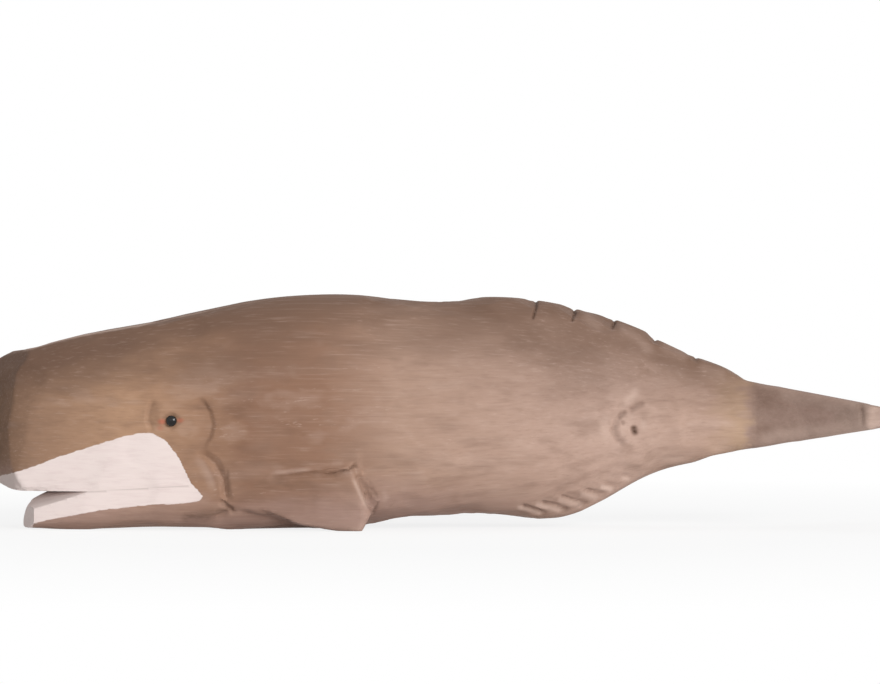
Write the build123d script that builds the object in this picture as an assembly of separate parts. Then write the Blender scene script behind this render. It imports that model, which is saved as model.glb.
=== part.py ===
from build123d import *
import os

# A carved wooden sperm whale that lies on its flat belly and its fin tips.
# Frame: +X runs from snout to tail, +Z is up, and the left side faces -Y.
# The origin is on the table, under the middle of the figure's box.

# Main sizes, in millimetres
body_length = 178.2
body_height = 54.7
body_width = 42.0
fluke_length = 31.8
fluke_span = 50.0

# Snout: its blunt front is bevelled all round, most at the sides
snout_bevel_depth = 5.0
snout_side_inset = 6.2
snout_top_inset = 2.6
snout_corner = 3.4

# Tail stock, at the face that the fluke is glued to
tail_width = 10.4
tail_height = 16.1
tail_base_height = 18.3
tail_corner = 2.6

# Mouth and lower jaw
lip_height = 9.0
chin_front_height = 12.0
chin_length = 7.3
mouth_corner_height = 11.0
jaw_length = 45.9
jaw_setback = 7.6
jaw_tip_height = 4.2
jaw_nose_length = 5.9
jaw_toe = 0.9
mouth_slit_length = 15.6
mouth_slit_gap = 0.5
jaw_bevel_width = 4.2
jaw_bevel_height = 3.2

# Pegs that hold the jaw, and dowels that hold the fluke
jaw_peg_diameter = 3.0
jaw_peg_length = 10.0
jaw_peg_base_height = 4.5
fluke_dowel_diameter = 3.0
fluke_dowel_length = 14.0
fluke_dowel_in_fluke = 6.0
fluke_dowel_spacing = 7.2
peg_clearance = 0.05
peg_end_gap = 0.3

# Fins, carved in relief and standing proud of the flanks
fin_front_setback = 58.6
fin_length = 30.6
fin_height = 15.5
fin_thickness = 8.0
fin_foot_offset = 19.4
fin_lean_angle = 7.0
fin_flare_angle = 3.5
fin_edge_bevel = 1.1

# Flukes
fluke_tip_thickness = 3.6
fluke_tip_height = 24.6
fluke_notch_depth = 8.5
fluke_edge_round = 1.2

# Knuckles on the back and pleats under the tail
knuckle_depth = 0.45
knuckle_slope_length = 2.2
knuckle_stop_length = 0.35
pleat_depth = 0.5
pleat_width = 0.9

# Eyes, painted mouth and the knot in the left flank
eye_diameter = 2.5
eye_dome = 0.6
eye_seat = 1.2
eye_clearance = 0.02
paint_film = 0.35
lip_paint_height = 22.7
knot_length = 7.6
knot_height = 9.6
knot_depth = 5.0
knot_centre_height = 25.5
knot_recess = 0.5

overrun = 5.0

# Places worked out from the sizes above
snout_x = -(body_length + fluke_length) / 2
joint_x = snout_x + body_length
tip_x = joint_x + fluke_length
loft_x = snout_x + snout_bevel_depth
loft_length = body_length - snout_bevel_depth
jaw_tip_x = snout_x + jaw_setback
jaw_rear_x = jaw_tip_x + jaw_length
slit_end_x = jaw_tip_x + mouth_slit_length

# Stations of the body from snout to tail. Each row is: place along the body, half width,
# top, bottom, half the top flat, half the bottom flat, and the top and foot of the side flat.
station_shares = [
    (0.000, 0.65, 0.766, 0.012, 0.55, 0.74, 0.80, 0.06),
    (0.070, 0.745, 0.815, 0.012, 0.55, 0.74, 0.80, 0.07),
    (0.151, 0.845, 0.867, 0.011, 0.52, 0.72, 0.78, 0.10),
    (0.232, 0.92, 0.918, 0.006, 0.48, 0.68, 0.74, 0.13),
    (0.313, 0.975, 0.971, -0.006, 0.42, 0.60, 0.70, 0.19),
    (0.394, 1.00, 1.000, -0.012, 0.34, 0.50, 0.66, 0.27),
    (0.475, 0.99, 0.999, -0.004, 0.30, 0.42, 0.63, 0.33),
    (0.555, 0.945, 0.975, 0.036, 0.26, 0.32, 0.61, 0.37),
    (0.644, 0.86, 0.992, 0.050, 0.16, 0.22, 0.60, 0.40),
    (0.717, 0.76, 0.974, 0.034, 0.12, 0.16, 0.60, 0.42),
    (0.781, 0.635, 0.930, 0.085, 0.12, 0.16, 0.60, 0.42),
    (0.847, 0.485, 0.857, 0.202, 0.14, 0.18, 0.62, 0.40),
    (0.919, 0.34, 0.752, 0.276, 0.20, 0.24, 0.68, 0.35),
    (0.962, 0.280, 0.692, 0.309, 0.36, 0.38, 0.74, 0.27),
]

# Places of the knuckles along the body, and of the pleats along it and up it
knuckle_shares = [0.706, 0.759, 0.813, 0.871, 0.926]
pleat_shares = [(0.704, 0.090), (0.733, 0.106), (0.759, 0.130), (0.786, 0.168), (0.806, 0.206)]
eye_share = (0.218, 0.466)
knot_share = 0.832
knuckle_fall_share = 0.031
knuckle_reach_share = 1.4
pleat_length_share = 0.034
pleat_drop_share = 0.038
cut_reach_share = 3
jaw_peg_shares = (0.30, 0.72)

# Fin outline, as shares of its length and height
fin_shares = [(0, 0.39), (0.23, 0.87), (0.87, 1), (1, 0.24), (0.93, 0), (0.80, 0), (0.42, 0.06)]

# Left half of the fluke seen from above, as shares of its length and half span
fluke_lead_shares = [(0.30, 0.44), (0.58, 0.73)]
fluke_tip_shares = [(0.80, 1), (1, 0.92)]
fluke_trail_shares = [(0.93, 0.62), (0.86, 0.30)]

# White paint on the lip and jaw, as shares of the mouth's length and the paint's height
lip_arch_shares = [
    (0.113, 0.60), (0.200, 0.64), (0.295, 0.74), (0.434, 0.845), (0.581, 0.955), (0.667, 0.998),
    (0.719, 0.99), (0.776, 0.918), (0.828, 0.753), (0.867, 0.567), (0.890, 0.46),
]
lip_foot_shares = [(0.890, 0.25), (0.165, 0.25)]
jaw_paint_shares = [
    (0.447, 0.52), (0.884, 0.52), (0.936, 0.344), (0.923, 0.309), (0.858, 0.277), (0.707, 0.263),
    (0.490, 0.206), (0.239, 0.084), (0.221, 0.100), (0.221, 0.212), (0.303, 0.281), (0.404, 0.344),
]


def along(share):
    """Place along the body, as a share of its length behind the snout's bevel."""
    return loft_x + share * loft_length


def up(share):
    """Height above the table, as a share of the body's height."""
    return share * body_height


def section(x, half_width, top, bottom, top_flat, bottom_flat, side_top, side_foot):
    """One cross-section: four flats joined by quarter ellipses."""
    top_corner = (half_width - top_flat, top - side_top)
    low_corner = (half_width - bottom_flat, side_foot - bottom)
    edges = [
        Line((-bottom_flat, bottom), (bottom_flat, bottom)),
        EllipticalCenterArc((bottom_flat, side_foot), *low_corner, 270),
        Line((half_width, side_foot), (half_width, side_top)),
        EllipticalCenterArc((top_flat, side_top), *top_corner, 0),
        Line((top_flat, top), (-top_flat, top)),
        EllipticalCenterArc((-top_flat, side_top), *top_corner, 90),
        Line((-half_width, side_top), (-half_width, side_foot)),
        EllipticalCenterArc((-bottom_flat, side_foot), *low_corner, 180),
    ]
    return Plane.YZ.offset(x) * make_face(edges)


def station_section(shares, inset=0):
    """The body's cross-section at one station, drawn in by inset on each side."""
    place, width, top, bottom, top_flat, bottom_flat, side_top, side_foot = shares
    half_width = width * body_width / 2
    low, high = up(bottom), up(top)
    return section(
        along(place),
        half_width - inset,
        high,
        low,
        top_flat * half_width,
        bottom_flat * half_width,
        low + side_top * (high - low),
        low + side_foot * (high - low),
    )


def tail_section(inset=0):
    """The tail stock's end face, with round corners that the fluke matches."""
    low, high = tail_base_height, tail_base_height + tail_height
    half_width = tail_width / 2
    flat = half_width - tail_corner
    return section(
        joint_x, half_width - inset, high, low, flat, flat, high - tail_corner, low + tail_corner
    )


def body_loft(inset=0):
    """The body from behind the snout's bevel to the tail, as one smooth loft."""
    sections = [station_section(shares, inset) for shares in station_shares]
    return loft([*sections, tail_section(inset)])


def snout_cap():
    """The bevelled front of the snout."""
    shares = station_shares[0]
    half_width = shares[1] * body_width / 2
    low, high = up(shares[3]), up(shares[2])
    half_front = half_width - snout_side_inset
    flat = half_front - snout_corner
    front = section(
        snout_x,
        half_front,
        high - snout_top_inset,
        low,
        flat,
        flat,
        high - snout_top_inset - snout_corner,
        low + snout_corner,
    )
    return loft([front, station_section(shares)], ruled=True)


def side_prism(edges):
    """A side outline, drawn in X and Z, run right through the figure."""
    return extrude(Plane.XZ * make_face(edges), body_width, both=True)


def above_table(shape):
    """What lies above the table's plane."""
    return split(shape, Plane.XY, Keep.TOP)


def both_sides(shape):
    """A left-hand shape with its right-hand mirror image."""
    return shape + mirror(shape, Plane.XZ)


def skin(solid, start, direction):
    """Where a line from inside the figure comes out: the point and the outward normal."""
    way = Vector(*direction)
    hits = solid.find_intersection_points(Axis(start, direction))
    point, normal = max(hits, key=lambda hit: hit[0].dot(way))
    return point, normal if normal.dot(way) > 0 else -normal


def flank(solid, x, z):
    """The point of the left flank at this length and height."""
    return skin(solid, (x, 0, z), (0, -1, 0))[0]


def mouth_void():
    """All that is sawn away under the upper lip, for the jaw and the open mouth."""
    front = (snout_x - overrun, chin_front_height)
    chin = (snout_x, chin_front_height)
    lip = (snout_x + chin_length, lip_height)
    slit_end = (slit_end_x, lip_height)
    corner = (jaw_rear_x, mouth_corner_height)
    foot = (jaw_rear_x, -overrun)
    edges = [
        Line(front, chin),
        TangentArc(lip, chin, tangent=(-1, 0)),
        *Polyline(lip, slit_end, corner, foot, (snout_x - overrun, -overrun), front).edges(),
    ]
    return side_prism(edges)


def jaw_outline():
    """The jaw from the side: a low tip that rises to meet the lip behind the slit."""
    tip = (jaw_tip_x, jaw_tip_height)
    crown = (jaw_tip_x + jaw_nose_length, lip_height - mouth_slit_gap)
    nose = TangentArc(crown, tip, tangent=(-1, -mouth_slit_gap / jaw_nose_length))
    back = Polyline(
        crown,
        (slit_end_x, lip_height),
        (jaw_rear_x, mouth_corner_height),
        (jaw_rear_x, 0),
        (jaw_tip_x + jaw_toe, 0),
        (jaw_tip_x, jaw_toe),
        tip,
    )
    return side_prism([nose, *back.edges()])


def v_cut(middle, run, outward, depth, before, after):
    """A straight knife cut: its floor lies depth under a line on the surface.

    The cut opens before wide towards the snout and after wide towards the tail.
    """
    toward_tail = outward.cross(run)
    if toward_tail.X < 0:
        toward_tail = -toward_tail
    plane = Plane(middle, x_dir=toward_tail, z_dir=run)
    rise = depth if plane.y_dir.dot(outward) > 0 else -depth
    wide = cut_reach_share + 1
    wedge = Polyline(
        (0, -rise),
        (wide * after, cut_reach_share * rise),
        (-wide * before, cut_reach_share * rise),
        close=True,
    )
    return extrude(plane * make_face(wedge.edges()), run.length, both=True)


def knuckle(solid, share):
    """One knuckle cut on the left of the back, from the ridge down the flank."""
    ridge, outward = skin(solid, (along(share), 0, 0), (0, 0, 1))
    run = flank(solid, ridge.X, ridge.Z - up(knuckle_fall_share)) - ridge
    line = run * knuckle_reach_share
    return v_cut(ridge, line, outward, knuckle_depth, knuckle_slope_length, knuckle_stop_length)


def pleat(solid, shares):
    """One slanting cut low on the left of the tail stock."""
    x, z = along(shares[0]), up(shares[1])
    reach, drop = pleat_length_share * body_length / 2, up(pleat_drop_share) / 2
    start = flank(solid, x - reach, z + drop)
    end = flank(solid, x + reach, z - drop)
    outward = skin(solid, (x, 0, z), (0, -1, 0))[1]
    middle, half = (start + end) / 2, (end - start) / 2
    return v_cut(middle, half, outward, pleat_depth, pleat_width, pleat_width)


def fin():
    """The left fin: a paddle carved in relief, proudest at its trailing edge."""
    front = (snout_x + fin_front_setback, -fin_foot_offset, 0)
    rearward = Vector(1, 0, 0).rotate(Axis.Z, -fin_flare_angle)
    outward = Vector(0, -1, 0).rotate(Axis.X, fin_lean_angle).rotate(Axis.Z, -fin_flare_angle)
    lie = Plane(front, x_dir=rearward, z_dir=outward)
    outline = Polyline(*[(u * fin_length, v * fin_height) for u, v in fin_shares], close=True)
    paddle = extrude(lie * make_face(outline.edges()), -fin_thickness)
    face = paddle.faces().sort_by(Axis.Y)[0]
    rear_edges = face.edges().sort_by(Axis.X)[-3:]
    return chamfer(rear_edges, fin_edge_bevel)


def mirrored(vector):
    """The mirror image of a vector on the figure's other side."""
    return Vector(vector.X, -vector.Y, vector.Z)


def bevel_jaw(shape, whole):
    """The jaw, or its paint, with a long facet planed on each upper edge beside the slit."""
    end = flank(whole, slit_end_x, lip_height)
    front = flank(whole, jaw_tip_x + jaw_nose_length, lip_height)
    foot = front - Vector(0, 0, jaw_bevel_height)
    inner = front + Vector(0, jaw_bevel_width, 0)
    outward = (inner - end).cross(foot - end)
    shape = split(shape, Plane(end, z_dir=outward), Keep.BOTTOM)
    return split(shape, Plane(mirrored(end), z_dir=mirrored(outward)), Keep.BOTTOM)


def left_outline(edges):
    """A side outline run outwards from the middle on the left only."""
    return extrude(Plane.XZ * make_face(edges), body_width)


def mouth_points(shares):
    """Points of a paint outline, from shares of the mouth's length and the paint's height."""
    length = jaw_rear_x - snout_x
    return [(snout_x + u * length, v * lip_paint_height) for u, v in shares]


def lip_paint_outline():
    """The arched white patch on the upper lip."""
    arch = mouth_points(lip_arch_shares)
    foot = Polyline(arch[-1], *mouth_points(lip_foot_shares), arch[0])
    return left_outline([Spline(*arch), *foot.edges()])


def jaw_paint_outline():
    """The white patch along the jaw."""
    return left_outline(Polyline(*mouth_points(jaw_paint_shares), close=True).edges())


def eye_place(whole):
    """The plane of the left eye on the head's flank, facing outwards."""
    point, outward = skin(whole, (along(eye_share[0]), 0, up(eye_share[1])), (0, -1, 0))
    return Plane(point, z_dir=outward)


def eye_bead():
    """A bead with a domed face, standing on the floor of its socket."""
    radius = eye_diameter / 2
    rim = (radius, eye_seat)
    crown = (0, eye_seat + eye_dome)
    edges = [
        *Polyline(crown, (0, 0), (radius, 0), rim).edges(),
        TangentArc(crown, rim, tangent=(1, 0)),
    ]
    return revolve(Plane.XZ * make_face(edges), Axis.Z)


def eye_socket():
    """The hole that the bead sits in."""
    radius = eye_diameter / 2 + eye_clearance
    return extrude(Circle(radius), eye_seat + overrun)


def knot_prism(whole):
    """The oval hole that the knot fills in the left flank."""
    x = along(knot_share)
    floor = flank(whole, x, knot_centre_height).Y + knot_depth
    outline = Pos(x, knot_centre_height) * Ellipse(knot_length / 2, knot_height / 2)
    return extrude(Plane.XZ.offset(-floor) * outline, knot_depth + overrun)


def jaw_pegs(clearance=0, end_gap=0):
    """Two upright pegs that join the jaw to the head, or the bores for them."""
    size = Circle(jaw_peg_diameter / 2 + clearance)
    places = [jaw_tip_x + share * jaw_length for share in jaw_peg_shares]
    pegs = [extrude(Pos(x, 0, jaw_peg_base_height) * size, jaw_peg_length + end_gap) for x in places]
    return pegs[0] + pegs[1]


def fluke_dowels(clearance=0, end_gap=0):
    """Two dowels that join the fluke to the tail stock, or the bores for them."""
    size = Circle(fluke_dowel_diameter / 2 + clearance)
    middle = tail_base_height + tail_height / 2
    rear = joint_x + fluke_dowel_in_fluke
    heights = [middle - fluke_dowel_spacing / 2, middle + fluke_dowel_spacing / 2]
    start = Plane.YZ.offset(rear)
    rods = [extrude(start * Pos(0, z) * size, -fluke_dowel_length - end_gap) for z in heights]
    return rods[0] + rods[1]


def fluke_points(shares):
    """Points of the left blade's outline, from shares of its length and half span."""
    return [(joint_x + u * fluke_length, -v * fluke_span / 2) for u, v in shares]


def fluke_blade():
    """The left blade seen from above: swept, with half of the notch."""
    root = (joint_x, -tail_width / 2)
    tip = fluke_points(fluke_tip_shares)
    notch = (tip_x - fluke_notch_depth, 0)
    edges = [
        Spline(root, *fluke_points(fluke_lead_shares), tip[0]),
        Line(*tip),
        Spline(tip[1], *fluke_points(fluke_trail_shares), notch),
        *Polyline(notch, (joint_x, 0), root).edges(),
    ]
    return extrude(make_face(edges), tail_base_height + tail_height + overrun)


def fluke_wedge():
    """The fluke seen from the side: as deep as the tail stock, and thin at the tips."""
    top = tail_base_height + tail_height
    outline = Polyline(
        (joint_x, tail_base_height),
        (joint_x, top),
        (tip_x, fluke_tip_height + fluke_tip_thickness),
        (tip_x, fluke_tip_height),
        close=True,
    )
    return side_prism(outline.edges())


def fluke():
    """The tail fluke, with its long edges and blade corners rounded over."""
    shape = both_sides(fluke_blade()) & fluke_wedge()
    rim = [edge for edge in shape.edges() if edge.geom_type != GeomType.LINE]
    corners = shape.edges().filter_by(Axis.Z).sort_by(Axis.X)[2:-2]
    return fillet([*rim, *corners], fluke_edge_round)


def carved_block(whole):
    """The head, trunk and tail stock, with relief fins, knuckles and pleats."""
    block = above_table(whole - mouth_void() + both_sides(fin()))
    for share in knuckle_shares:
        block = block - both_sides(knuckle(whole, share))
    for shares in pleat_shares:
        block = block - both_sides(pleat(whole, shares))
    return block


# The carved block and the jaw sawn from under it
loft_body = body_loft()
whole = loft_body + snout_cap()
body = carved_block(whole)
lower_jaw = above_table(loft_body & jaw_outline())

# Paint: each coat lies in a shallow bed, so that it is flush with the wood
core = body_loft(paint_film)
lip_skin = both_sides(lip_paint_outline() - core)
lip_paint = body & lip_skin
body = body - lip_skin
jaw_skin = both_sides(jaw_paint_outline() - core)
jaw_paint = bevel_jaw(lower_jaw & jaw_skin, whole)
lower_jaw = bevel_jaw(lower_jaw - jaw_skin, whole)

# Eyes in their sockets
socket = eye_place(whole).offset(-eye_seat)
left_eye = socket * eye_bead()
right_eye = mirror(left_eye, Plane.XZ)
body = body - both_sides(socket * eye_socket())

# The knot, a little lower than the wood round it
knot_hole = knot_prism(whole)
wood_knot = body_loft(knot_recess) & knot_hole
body = body - knot_hole

# The fluke, and the bores for pegs and dowels
tail_fluke = fluke() - fluke_dowels(peg_clearance)
lower_jaw = lower_jaw - jaw_pegs(peg_clearance)
body = body - jaw_pegs(peg_clearance, peg_end_gap) - fluke_dowels(peg_clearance, peg_end_gap)

nodes = {
    "body": body,
    "lower_jaw": lower_jaw,
    "jaw_pegs": jaw_pegs(),
    "tail_fluke": tail_fluke,
    "fluke_dowels": fluke_dowels(),
    "left_eye": left_eye,
    "right_eye": right_eye,
    "lip_paint": lip_paint,
    "jaw_paint": jaw_paint,
    "wood_knot": wood_knot,
}
os.makedirs("parts", exist_ok=True)
for node, shape in nodes.items():
    export_step(shape, f"parts/{node}.step")
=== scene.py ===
import logging
import math
from dataclasses import dataclass, field
from enum import Enum
from typing import Any, Optional, Sequence

import bpy
import numpy as np
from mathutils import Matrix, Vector
from mathutils.kdtree import KDTree


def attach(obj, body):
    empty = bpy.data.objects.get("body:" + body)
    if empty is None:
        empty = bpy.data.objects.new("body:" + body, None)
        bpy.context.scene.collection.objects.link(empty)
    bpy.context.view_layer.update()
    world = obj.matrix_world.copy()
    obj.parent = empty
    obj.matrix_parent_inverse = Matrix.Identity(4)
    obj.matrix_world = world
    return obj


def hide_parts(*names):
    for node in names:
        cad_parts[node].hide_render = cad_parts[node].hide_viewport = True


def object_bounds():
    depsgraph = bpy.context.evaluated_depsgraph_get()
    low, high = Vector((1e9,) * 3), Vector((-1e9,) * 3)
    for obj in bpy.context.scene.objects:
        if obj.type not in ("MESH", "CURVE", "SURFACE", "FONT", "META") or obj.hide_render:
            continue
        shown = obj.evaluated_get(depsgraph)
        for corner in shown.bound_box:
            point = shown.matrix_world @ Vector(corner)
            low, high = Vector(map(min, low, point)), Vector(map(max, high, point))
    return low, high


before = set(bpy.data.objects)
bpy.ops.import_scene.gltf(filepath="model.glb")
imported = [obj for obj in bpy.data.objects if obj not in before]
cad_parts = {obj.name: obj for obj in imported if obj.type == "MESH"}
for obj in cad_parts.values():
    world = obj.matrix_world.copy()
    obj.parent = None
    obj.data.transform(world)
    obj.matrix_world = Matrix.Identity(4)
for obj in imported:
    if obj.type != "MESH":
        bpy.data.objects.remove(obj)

MM = 0.001
CAD_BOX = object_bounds()
log = logging.getLogger("whale")

Line = list[tuple[float, float]]
Spot = tuple[float, float, float]


class CutShape(Enum):
    """How a knife or gouge leaves the bottom of a cut."""

    VEE = "vee"
    GOUGE = "gouge"


class Flank(Enum):
    """Which flanks a cut is made on. The left one faces -Y."""

    BOTH = 0
    LEFT = -1
    RIGHT = 1


class Trim(Enum):
    """What is kept of a blank when an outline is sawn through it."""

    INSIDE = "INTERSECT"
    OUTSIDE = "DIFFERENCE"


def linear(code: str) -> tuple[float, float, float, float]:
    """Turn an sRGB hex colour into linear light.

    Args:
        code: Six hex digits with a leading hash sign.

    Returns:
        Red, green, blue and alpha.
    """
    parts = [int(code[i : i + 2], 16) / 255 for i in (1, 3, 5)]
    light = [p / 12.92 if p <= 0.04045 else ((p + 0.055) / 1.055) ** 2.4 for p in parts]
    return (light[0], light[1], light[2], 1.0)


def add_node(
    tree: bpy.types.NodeTree,
    kind: str,
    settings: Optional[dict[Any, Any]] = None,
    links: Optional[dict[Any, bpy.types.NodeSocket]] = None,
    stops: Sequence[tuple[float, str]] = (),
) -> bpy.types.Node:
    """Add one node to a tree, with its settings and links.

    Args:
        tree: The node tree.
        kind: The node's type name.
        settings: Properties of the node, or values of its input sockets by name or number.
        links: Input socket name or number, to the output socket that feeds it.
        stops: Place and hex colour of each stop, for a colour ramp.

    Returns:
        The new node.
    """
    made = tree.nodes.new(kind)
    for key, value in (settings or {}).items():
        if isinstance(key, str) and key in made.bl_rna.properties:
            setattr(made, key, value)
        else:
            made.inputs[key].default_value = value
    for key, source in (links or {}).items():
        tree.links.new(source, made.inputs[key])
    for number, (place, code) in enumerate(stops):
        ramp = made.color_ramp.elements
        stop = ramp[number] if number < 2 else ramp.new(place)
        stop.position = place
        stop.color = linear(code)
    return made


def select_only(*objects: bpy.types.Object) -> None:
    """Deselect everything, then select these objects and make the first one active."""
    bpy.ops.object.select_all(action="DESELECT")
    for obj in objects:
        obj.select_set(True)
    bpy.context.view_layer.objects.active = objects[0]


def apply_modifier(obj: bpy.types.Object, kind: str, **settings: Any) -> None:
    """Add a modifier with these settings and apply it."""
    select_only(obj)
    made = obj.modifiers.new(kind.lower(), kind)
    for key, value in settings.items():
        setattr(made, key, value)
    bpy.ops.object.modifier_apply(modifier=made.name)


def joined(name: str, objects: Sequence[bpy.types.Object]) -> bpy.types.Object:
    """Join objects into one with this name."""
    select_only(*objects)
    if len(objects) > 1:
        bpy.ops.object.join()
    made = bpy.context.view_layer.objects.active
    made.name = name
    return made


def copy_of_nodes(name: str, nodes: Sequence[str]) -> bpy.types.Object:
    """Copy CAD nodes into one new object, with doubled corners merged.

    Args:
        name: Name of the new object.
        nodes: CAD nodes to copy.

    Returns:
        The new object, at the origin.
    """
    copies = []
    for node in nodes:
        copy = bpy.data.objects.new(name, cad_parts[node].data.copy())
        bpy.context.scene.collection.objects.link(copy)
        copies.append(copy)
    made = joined(name, copies)
    made.data.materials.clear()
    bpy.ops.object.mode_set(mode="EDIT")
    bpy.ops.mesh.select_all(action="SELECT")
    bpy.ops.mesh.remove_doubles(threshold=0.002 * MM)
    bpy.ops.object.mode_set(mode="OBJECT")
    return made


def board(name: str, outline: Line, half: float = 60.0) -> bpy.types.Object:
    """A thick board sawn to an outline in X and Z, lying across the figure.

    Args:
        name: Name of the new object.
        outline: Corners in millimetres.
        half: Half the board's thickness, in millimetres.

    Returns:
        The new object.
    """
    mesh = bpy.data.meshes.new(name)
    corners = [(x * MM, -half * MM, z * MM) for x, z in outline]
    mesh.from_pydata(corners, [], [list(range(len(corners)))])
    made = bpy.data.objects.new(name, mesh)
    bpy.context.scene.collection.objects.link(made)
    select_only(made)
    bpy.ops.object.mode_set(mode="EDIT")
    bpy.ops.mesh.select_all(action="SELECT")
    bpy.ops.mesh.extrude_region_move(TRANSFORM_OT_translate={"value": (0, 2 * half * MM, 0)})
    bpy.ops.mesh.select_all(action="SELECT")
    bpy.ops.mesh.normals_make_consistent(inside=False)
    bpy.ops.object.mode_set(mode="OBJECT")
    return made


def saw(obj: bpy.types.Object, outline: Line, trim: Trim) -> None:
    """Saw an outline through a piece, and keep one side of the saw's path."""
    tool = board("saw_path", outline)
    apply_modifier(obj, "BOOLEAN", operation=trim.value, solver="MANIFOLD", object=tool)
    bpy.data.objects.remove(tool)


def chop(obj: bpy.types.Object, spot: Spot, facing: Spot) -> None:
    """Chop a flat on a piece.

    Args:
        obj: The piece.
        spot: A point of the flat, in millimetres.
        facing: The way the flat faces; wood beyond it is taken off.
    """
    select_only(obj)
    bpy.ops.object.mode_set(mode="EDIT")
    bpy.ops.mesh.select_all(action="SELECT")
    bpy.ops.mesh.bisect(
        plane_co=Vector(spot) * MM, plane_no=Vector(facing).normalized(), use_fill=True, clear_outer=True, threshold=1e-7
    )
    bpy.ops.object.mode_set(mode="OBJECT")


def points_of(obj: bpy.types.Object) -> np.ndarray:
    """Corner places of a mesh, in millimetres."""
    places = np.zeros(len(obj.data.vertices) * 3, np.float32)
    obj.data.vertices.foreach_get("co", places)
    return places.reshape(-1, 3).astype(float) / MM


def normals_of(obj: bpy.types.Object) -> np.ndarray:
    """Outward normals at a mesh's corners."""
    ways = np.zeros(len(obj.data.vertices) * 3, np.float32)
    obj.data.vertices.foreach_get("normal", ways)
    return ways.reshape(-1, 3).astype(float)


def move_points(obj: bpy.types.Object, points: np.ndarray) -> None:
    """Put a mesh's corners at these places, in millimetres, and never outside the CAD box."""
    low, high = (np.array(corner) for corner in CAD_BOX)
    placed = np.clip(points * MM, low, high)
    obj.data.vertices.foreach_set("co", placed.astype(np.float32).ravel())
    obj.data.update()


def keep_value(obj: bpy.types.Object, name: str, values: np.ndarray) -> None:
    """Store one number per corner, for the finish to read."""
    made = obj.data.attributes.get(name) or obj.data.attributes.new(name, "FLOAT", "POINT")
    made.data.foreach_set("value", values.astype(np.float32))


def smooth_step(low: float, high: float, value: np.ndarray) -> np.ndarray:
    """Rise softly from 0 at low to 1 at high."""
    share = np.clip((value - low) / (high - low), 0, 1)
    return share * share * (3 - 2 * share)


def from_line(line: Line, places: np.ndarray) -> tuple[np.ndarray, np.ndarray, np.ndarray, float]:
    """Measure places against a line drawn in X and Z.

    Args:
        line: The line's points, in millimetres.
        places: X and Z of each place.

    Returns:
        Distance, side (+1 or -1), way along the line, and the line's length.
    """
    best = np.full(len(places), 1e9)
    side = np.ones(len(places))
    way = np.zeros(len(places))
    gone = 0.0
    for start, end in zip(np.array(line[:-1]), np.array(line[1:])):
        run = end - start
        length = float(np.hypot(*run))
        share = np.clip((places - start) @ run / length**2, 0, 1)
        off = places - start - share[:, None] * run
        distance = np.hypot(off[:, 0], off[:, 1])
        near = distance < best
        best[near] = distance[near]
        turn = run[0] * (places[:, 1] - start[1]) - run[1] * (places[:, 0] - start[0])
        side[near] = np.where(turn >= 0, 1, -1)[near]
        way[near] = (gone + share * length)[near]
        gone += length
    return best, side, way, gone


def inside_by(outline: Line, places: np.ndarray) -> np.ndarray:
    """How far each place lies inside a closed outline in X and Z; negative outside."""
    distance = from_line([*outline, outline[0]], places)[0]
    within = np.zeros(len(places), bool)
    x, z = places[:, 0], places[:, 1]
    for (ax, az), (bx, bz) in zip(outline, [*outline[1:], outline[0]]):
        crosses = (az > z) != (bz > z)
        with np.errstate(divide="ignore", invalid="ignore"):
            within ^= crosses & (x < (bx - ax) * (z - az) / (bz - az) + ax)
    return np.where(within, distance, -distance)


@dataclass(frozen=True)
class Cut:
    """One cut of a knife or gouge, drawn on the flank in X and Z millimetres.

    The plus side is on the left of the line's travel as seen from -Y. A shade above 0 darkens the wood:
    partly dark wash held in the cut, partly painted shade in hollows, undercuts and under edges. A shade
    below 0 lightens it: partly pale wear, partly painted highlights on edges that face the lamps. A cut
    with no depth only colours the wood. A leaf narrows to its ends.
    """

    line: Line
    depth: float
    plus: float
    minus: float
    shade: float = 0.0
    fade: float = 2.0
    shape: CutShape = CutShape.VEE
    flank: Flank = Flank.BOTH
    leaf: bool = False

    def share_at(self, points: np.ndarray) -> np.ndarray:
        """Share of the full depth at each corner of a mesh.

        Args:
            points: Corner places in millimetres.

        Returns:
            A number from 0 to 1 for each corner.
        """
        distance, side, way, length = from_line(self.line, points[:, [0, 2]])
        wide = np.where(side > 0, self.plus, self.minus)
        if self.leaf:
            wide = wide * np.sqrt(np.maximum(4 * way / length * (1 - way / length), 0.02))
        share = np.clip(1 - distance / wide, 0, 1)
        if self.shape is CutShape.GOUGE:
            share = share * share * (3 - 2 * share)
        if self.fade:
            share = share * smooth_step(0, self.fade, np.minimum(way, length - way) + 0.15 * self.fade)
        if self.flank is not Flank.BOTH:
            share = np.where(points[:, 1] * self.flank.value > 0, share, 0)
        return share


@dataclass(frozen=True)
class KnifeFacets:
    """Shallow flats that the knife leaves on round wood."""

    count: int
    reach: float
    bite: float
    most: float
    seed: int

    def depth_at(self, points: np.ndarray, normals: np.ndarray) -> np.ndarray:
        """Depth of wood taken at each corner by flat strokes on the skin.

        Args:
            points: Corner places in millimetres.
            normals: Outward normals.

        Returns:
            Depth in millimetres for each corner.
        """
        chance = np.random.default_rng(self.seed)
        taken = np.zeros(len(points))
        for number in chance.choice(len(points), self.count, replace=False):
            off = points - points[number]
            tilt = normals[number] + chance.normal(0, 0.02, 3)
            tilt = tilt / np.linalg.norm(tilt)
            bite = self.bite * chance.uniform(0.35, 1.0)
            near = (np.abs(off[:, 0]) < 2.2 * self.reach) & (np.abs(off[:, 1:]).max(1) < self.reach)
            depth = (off[near] @ tilt + bite) / np.maximum(normals[near] @ tilt, 0.6)
            away = np.hypot(off[near, 0] / 2.2, np.hypot(off[near, 1], off[near, 2])) / self.reach
            depth = np.clip(depth, 0, self.most) * (1 - smooth_step(0.7, 1.0, away))
            taken[near] = np.maximum(taken[near], depth)
        return taken


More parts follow.
